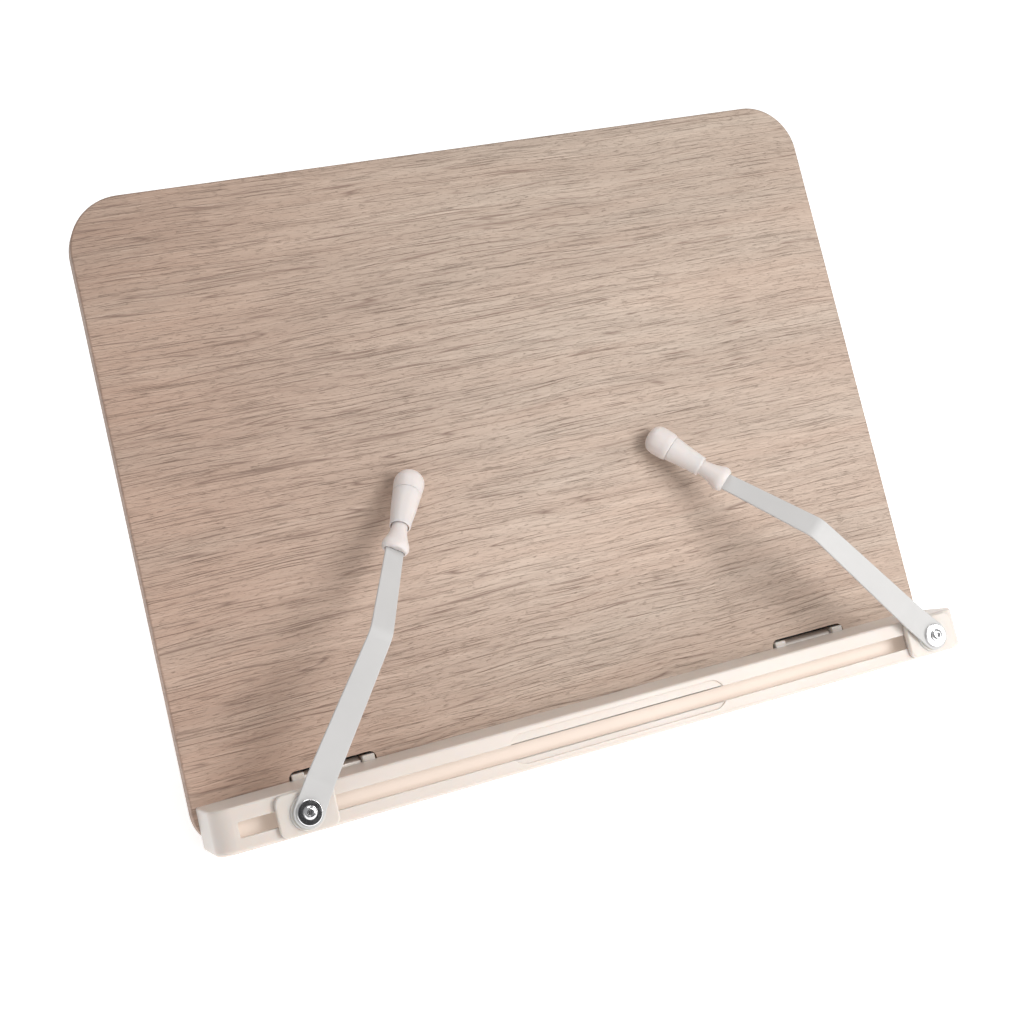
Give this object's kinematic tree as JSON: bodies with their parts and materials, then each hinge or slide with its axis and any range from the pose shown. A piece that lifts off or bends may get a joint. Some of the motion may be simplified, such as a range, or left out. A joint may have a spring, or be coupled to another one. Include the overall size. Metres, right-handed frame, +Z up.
{
  "type": "book display stand",
  "caption": "Tilting book display stand: wood-film board on a folding base, with a slotted ivory ledge and sliding, swivelling page holders.",
  "frame": {"origin": "centre of the stand's footprint box, on the table surface", "axes": "+X to the reader's right along the board, +Z up, +Y away from the reader"},
  "size_m": [0.35, 0.1979, 0.2282],
  "materials": {
    "frame_paint": "satin",
    "polished_steel": "polished",
    "plated_steel": "satin",
    "rubber": "matt",
    "fibreboard": "matt",
    "wood_film": "satin",
    "track_metal": "satin",
    "dark_plastic": "matt",
    "arm_paint": "satin",
    "ivory_plastic": "satin"
  },
  "bodies": {
    "base": {"base_rail_left": "frame_paint", "base_rail_right": "frame_paint", "hinge_barrel_left": "polished_steel", "hinge_barrel_right": "polished_steel", "rear_axle": "polished_steel", "front_tie": "frame_paint", "tie_screws": "plated_steel", "axle_end_caps": "rubber", "front_feet": "rubber", "rear_feet": "rubber"},
    "board": {"board_core": "fibreboard", "face_film": "wood_film", "back_film": "wood_film", "edge_band": "wood_film", "ledge_rail": "ivory_plastic", "ledge_cover": "ivory_plastic", "cover_screws": "plated_steel", "ledge_screws": "plated_steel", "hinge_pin_left": "polished_steel", "hinge_pin_right": "polished_steel", "track_left": "track_metal", "track_right": "track_metal", "hinge_shield_left": "dark_plastic", "hinge_shield_right": "dark_plastic", "track_stop_low": "ivory_plastic", "track_stop_high": "ivory_plastic", "track_screws": "plated_steel"},
    "prop": {"prop_panel": "ivory_plastic", "prop_bushes": "dark_plastic"},
    "shuttle": {"slide_rod": "polished_steel", "shoe_left": "dark_plastic", "shoe_right": "dark_plastic", "friction_pads": "rubber"},
    "slider_left": {"slider_block_left": "ivory_plastic", "slider_nut_left": "plated_steel", "wave_washer_left": "plated_steel", "flat_washer_left": "polished_steel", "pivot_screw_left": "polished_steel"},
    "arm_left": {"arm_strip_left": "arm_paint", "arm_collar_left": "ivory_plastic"},
    "tip_left": {"tip_sleeve_left": "ivory_plastic", "tip_cap_left": "ivory_plastic"},
    "slider_right": {"slider_block_right": "ivory_plastic", "slider_nut_right": "plated_steel", "wave_washer_right": "plated_steel", "flat_washer_right": "polished_steel", "pivot_screw_right": "polished_steel"},
    "arm_right": {"arm_strip_right": "arm_paint", "arm_collar_right": "ivory_plastic"},
    "tip_right": {"tip_sleeve_right": "ivory_plastic", "tip_cap_right": "ivory_plastic"}
  },
  "joints": [
    {"name": "board_tilt", "type": "hinge", "parent": "base", "child": "board", "pos_m": [0, -0.0551, 0.02], "axis": [1, 0, 0], "range_deg": [-51, 16]},
    {"name": "prop_swing", "type": "hinge", "parent": "base", "child": "prop", "pos_m": [0, 0.0599, 0.0075], "axis": [1, 0, 0], "range_deg": [-106, 34]},
    {"name": "shuttle_turn", "type": "hinge", "parent": "prop", "child": "shuttle", "pos_m": [0, 0.01786, 0.10426], "axis": [1, 0, 0], "range_deg": [-18, 55]},
    {"name": "slider_left_slide", "type": "slide", "parent": "board", "child": "slider_left", "axis": [1, 0, 0], "range_m": [-0.02, 0.035]},
    {"name": "slider_right_slide", "type": "slide", "parent": "board", "child": "slider_right", "axis": [1, 0, 0], "range_m": [-0.035, 0.002]},
    {"name": "arm_left_swing", "type": "hinge", "parent": "slider_left", "child": "arm_left", "pos_m": [-0.1366, -0.0947, 0.0395], "axis": [0, -0.809, 0.5878], "range_deg": [-6, 94]},
    {"name": "arm_right_swing", "type": "hinge", "parent": "slider_right", "child": "arm_right", "pos_m": [0.1546, -0.0947, 0.0395], "axis": [0, -0.809, 0.5878], "range_deg": [-99, 6]},
    {"name": "tip_left_spin", "type": "hinge", "parent": "arm_left", "child": "tip_left", "pos_m": [-0.07609, -0.03043, 0.10412], "axis": [0.4911, 0.8131, 0.3126], "continuous": true},
    {"name": "tip_right_spin", "type": "hinge", "parent": "arm_right", "child": "tip_right", "pos_m": [0.08248, -0.02831, 0.09941], "axis": [-0.5846, 0.7356, 0.3422], "continuous": true}
  ],
  "couplings": [
    {"joint": "prop_swing", "follows": "board_tilt", "ratio": 2.072},
    {"joint": "shuttle_turn", "follows": "board_tilt", "ratio": -1.072}
  ]
}
